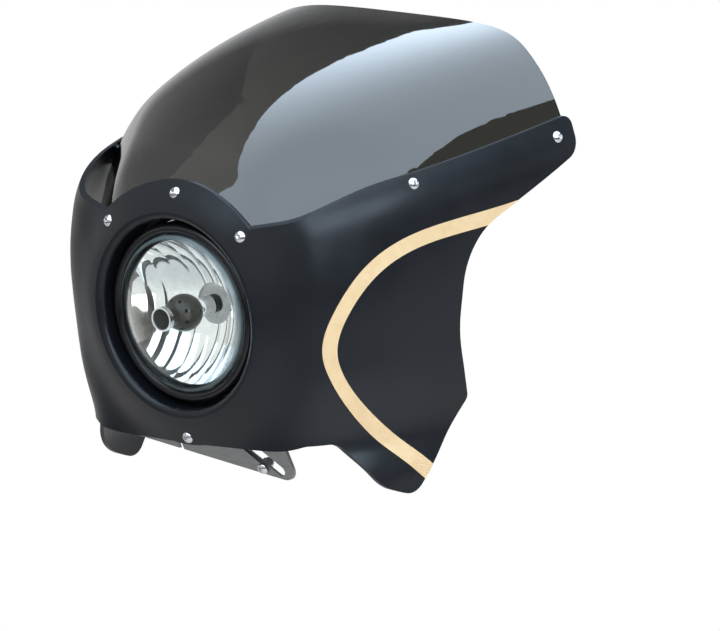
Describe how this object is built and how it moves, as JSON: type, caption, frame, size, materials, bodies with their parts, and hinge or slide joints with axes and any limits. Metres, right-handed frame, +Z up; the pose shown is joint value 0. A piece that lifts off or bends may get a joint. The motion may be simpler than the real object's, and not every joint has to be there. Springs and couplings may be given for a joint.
{
  "type": "motorcycle fairing",
  "caption": "Fork-mounted quarter fairing with a hooded headlamp opening, a smoked bubble windshield held by button-head screws, gold stripes, a chin bracket and a round headlamp.",
  "frame": {"origin": "midway between the two mounting bolt holes, on the top face of the chin bracket's web", "axes": "+X to the motorcycle's left, +Y to its rear, +Z up; the headlamp looks along -Y"},
  "size_m": [0.4078, 0.354, 0.3829],
  "materials": {
    "satin_black": "satin black paint on a moulded shell",
    "smoked_acrylic": "dark smoked acrylic, gloss",
    "gold_leaf": "pale gold leaf stripe, slightly mottled",
    "black_rubber": "matte black rubber",
    "brushed_aluminium": "brushed sheet",
    "lens_glass": "clear domed glass with a greenish edge",
    "bulb_glass": "clear bulb glass",
    "gloss_black": "gloss black",
    "reflector_chrome": "bright multi-faceted reflector",
    "shield_grey": "dark warm grey bulb shield",
    "bucket_black": "black painted sheet",
    "stay_black": "black coated rod",
    "zinc_steel": "zinc plated steel",
    "screw_chrome": "polished button-head screws"
  },
  "bodies": {
    "root": {"bulb_base": "zinc_steel", "bulb_glass": "bulb_glass", "bulb_shield": "shield_grey", "chin_bracket": "brushed_aluminium", "chin_bush": "zinc_steel", "chin_screw": "screw_chrome", "fairing_shell": "satin_black", "headlamp_bolt": "screw_chrome", "headlamp_boot": "black_rubber", "headlamp_boss": "zinc_steel", "headlamp_bucket": "bucket_black", "headlamp_gasket": "black_rubber", "headlamp_lens": "lens_glass", "headlamp_reflector": "reflector_chrome", "headlamp_trim_ring": "gloss_black", "left_front_lock_nut": "zinc_steel", "left_front_rubber_washer": "black_rubber", "left_front_screw": "screw_chrome", "left_rear_lock_nut": "zinc_steel", "left_rear_rubber_washer": "black_rubber", "left_rear_screw": "screw_chrome", "left_side_lock_nut": "zinc_steel", "left_side_rubber_washer": "black_rubber", "left_side_screw": "screw_chrome", "left_side_stay": "stay_black", "left_stay_lock_nut": "zinc_steel", "left_stay_screw": "screw_chrome", "left_stripe": "gold_leaf", "right_front_lock_nut": "zinc_steel", "right_front_rubber_washer": "black_rubber", "right_front_screw": "screw_chrome", "right_rear_lock_nut": "zinc_steel", "right_rear_rubber_washer": "black_rubber", "right_rear_screw": "screw_chrome", "right_side_lock_nut": "zinc_steel", "right_side_rubber_washer": "black_rubber", "right_side_screw": "screw_chrome", "right_side_stay": "stay_black", "right_stay_lock_nut": "zinc_steel", "right_stay_screw": "screw_chrome", "right_stripe": "gold_leaf", "skirt_strap": "brushed_aluminium", "strap_lock_nut": "zinc_steel", "strap_screw": "screw_chrome", "surround_seal": "black_rubber", "top_lock_nut": "zinc_steel", "top_rubber_washer": "black_rubber", "top_screw": "screw_chrome", "trim_ring_screw": "screw_chrome", "windshield": "smoked_acrylic"}
  },
  "joints": []
}
